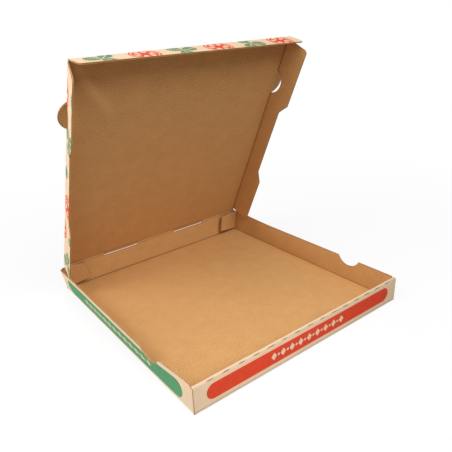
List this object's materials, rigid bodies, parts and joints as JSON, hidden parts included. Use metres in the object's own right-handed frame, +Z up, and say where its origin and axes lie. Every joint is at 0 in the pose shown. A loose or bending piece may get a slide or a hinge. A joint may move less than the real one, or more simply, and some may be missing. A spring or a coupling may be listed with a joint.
{
  "type": "pizza box",
  "caption": "Open pizza box folded from one sheet of corrugated board: a tray with a rolled-over front wall and a hinged lid with tuck-in flaps.",
  "frame": {"origin": "middle of the tray's underside", "axes": "+X to the right seen from the front, +Y from the front wall to the hinge, +Z up"},
  "size_m": [0.3468, 0.3376, 0.3352],
  "materials": {
    "kraft_board": "matte"
  },
  "bodies": {
    "tray": {"tray": "kraft_board"},
    "lid": {"lid": "kraft_board"},
    "lid_front_flap": {"lid_front_flap": "kraft_board"},
    "lid_left_flap": {"lid_left_flap": "kraft_board"},
    "lid_right_flap": {"lid_right_flap": "kraft_board"}
  },
  "joints": [
    {"name": "lid_hinge", "type": "hinge", "parent": "tray", "child": "lid", "pos_m": [0, 0.1672, 0.039], "axis": [-1, 0, 0], "range_deg": [-65, 115]},
    {"name": "front_flap_fold", "type": "hinge", "parent": "lid", "child": "lid_front_flap", "pos_m": [0, 0.02934, 0.33464], "axis": [-1, 0, 0], "range_deg": [-15.01, 26.55]},
    {"name": "left_flap_fold", "type": "hinge", "parent": "lid", "child": "lid_left_flap", "pos_m": [-0.1612, 0.1672, 0.039], "axis": [0, 0.4226, -0.9063], "range_deg": [-15.01, 26.55]},
    {"name": "right_flap_fold", "type": "hinge", "parent": "lid", "child": "lid_right_flap", "pos_m": [0.1612, 0.1672, 0.039], "axis": [0, -0.4226, 0.9063], "range_deg": [-8.01, 14.16]}
  ],
  "couplings": [
    {"joint": "front_flap_fold", "follows": "lid_hinge", "ratio": 0.23077},
    {"joint": "left_flap_fold", "follows": "lid_hinge", "ratio": 0.23077},
    {"joint": "right_flap_fold", "follows": "lid_hinge", "ratio": 0.12308}
  ]
}
